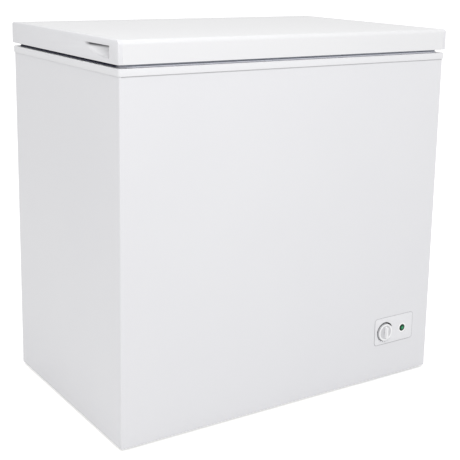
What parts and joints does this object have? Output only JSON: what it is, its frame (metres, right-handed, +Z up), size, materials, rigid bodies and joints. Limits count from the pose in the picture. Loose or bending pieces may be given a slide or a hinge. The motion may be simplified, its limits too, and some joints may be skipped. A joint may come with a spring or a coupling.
{
  "type": "chest freezer",
  "caption": "White chest freezer with a hinged foam-filled lid, recessed end handles, a stepped liner over the compressor bay, a hanging basket, and a thermostat knob with a green lamp.",
  "frame": {"origin": "on the floor under the middle of the whole freezer's box", "axes": "+Z up, the front with the control panel faces -Y, +X to the right-hand end with the compressor bay"},
  "size_m": [0.8574, 0.5766, 0.845],
  "materials": {
    "cabinet_paint": "satin",
    "rear_steel": "satin",
    "galvanised": "satin",
    "foam": "matte",
    "liner_white": "gloss",
    "frame_plastic": "satin",
    "aluminium_tube": "satin",
    "dark_tube": "satin",
    "black_plastic": "matte",
    "zinc": "satin",
    "black_enamel": "gloss",
    "black_rubber": "matte",
    "copper": "satin",
    "cover_paint": "satin",
    "ivory_plastic": "matte",
    "panel_plastic": "satin",
    "green_lens": "gloss",
    "lamp_glass": "gloss",
    "hinge_steel": "satin",
    "lid_paint": "satin",
    "cap_plastic": "satin",
    "gasket_vinyl": "matte",
    "magnet": "matte",
    "knob_plastic": "satin",
    "basket_coating": "satin"
  },
  "bodies": {
    "cabinet": {"outer_shell": "cabinet_paint", "rear_panel": "rear_steel", "base_pan": "galvanised", "foam_left": "foam", "foam_right": "foam", "foam_front": "foam", "foam_rear": "foam", "foam_floor": "foam", "foam_step": "foam", "foam_corners": "foam", "inner_liner": "liner_white", "top_frame": "frame_plastic", "evaporator_coil": "aluminium_tube", "condenser_coil": "dark_tube", "feet": "black_plastic", "foot_screws": "zinc", "compressor_tray": "galvanised", "compressor": "black_enamel", "compressor_grommets": "black_rubber", "compressor_bolts": "zinc", "relay_cover": "black_plastic", "filter_drier": "copper", "capillary_tube": "copper", "suction_tube": "copper", "discharge_tube": "copper", "liquid_tube": "copper", "process_tube": "copper", "compressor_cover": "cover_paint", "cover_screws": "zinc", "cord_grommet": "black_rubber", "terminal_block": "ivory_plastic", "wiring_harness": "black_plastic", "control_panel": "panel_plastic", "thermostat_body": "ivory_plastic", "thermostat_sensor": "copper", "indicator_lens": "green_lens", "indicator_lamp": "lamp_glass", "drain_flange": "frame_plastic", "drain_tube": "frame_plastic", "hinge_bracket_left": "hinge_steel", "hinge_bracket_right": "hinge_steel", "hinge_pins": "zinc", "hinge_washers": "zinc", "hinge_covers": "frame_plastic", "hinge_screws": "zinc"},
    "lid": {"lid_skin": "lid_paint", "lid_cap_left": "cap_plastic", "lid_cap_right": "cap_plastic", "lid_foam": "foam", "lid_liner": "liner_white", "lid_gasket": "gasket_vinyl", "lid_leaf_left": "hinge_steel", "lid_leaf_right": "hinge_steel", "lid_hinge_screws": "zinc", "gasket_magnets": "magnet"},
    "knob": {"thermostat_shaft": "zinc", "thermostat_knob": "knob_plastic"},
    "basket": {"basket": "basket_coating"},
    "drain_plug": {"drain_plug": "black_rubber"},
    "drain_cap": {"drain_cap": "frame_plastic"}
  },
  "joints": [
    {"name": "lid_hinge", "type": "hinge", "parent": "cabinet", "child": "lid", "pos_m": [0, 0.2773, 0.8015], "axis": [-1, 0, 0], "range_deg": [0, 80]},
    {"name": "thermostat_turn", "type": "hinge", "parent": "cabinet", "child": "knob", "pos_m": [0.2845, -0.2737, 0.121], "axis": [0, 1, 0], "range_deg": [-135, 135]},
    {"name": "basket_slide", "type": "slide", "parent": "cabinet", "child": "basket", "axis": [-1, 0, 0], "range_m": [0, 0.475]},
    {"name": "drain_plug_pull", "type": "slide", "parent": "cabinet", "child": "drain_plug", "axis": [0, 0, 1], "range_m": [0, 0.03]},
    {"name": "drain_cap_pull", "type": "slide", "parent": "cabinet", "child": "drain_cap", "axis": [0, 1, 0], "range_m": [0, 0.02]}
  ]
}
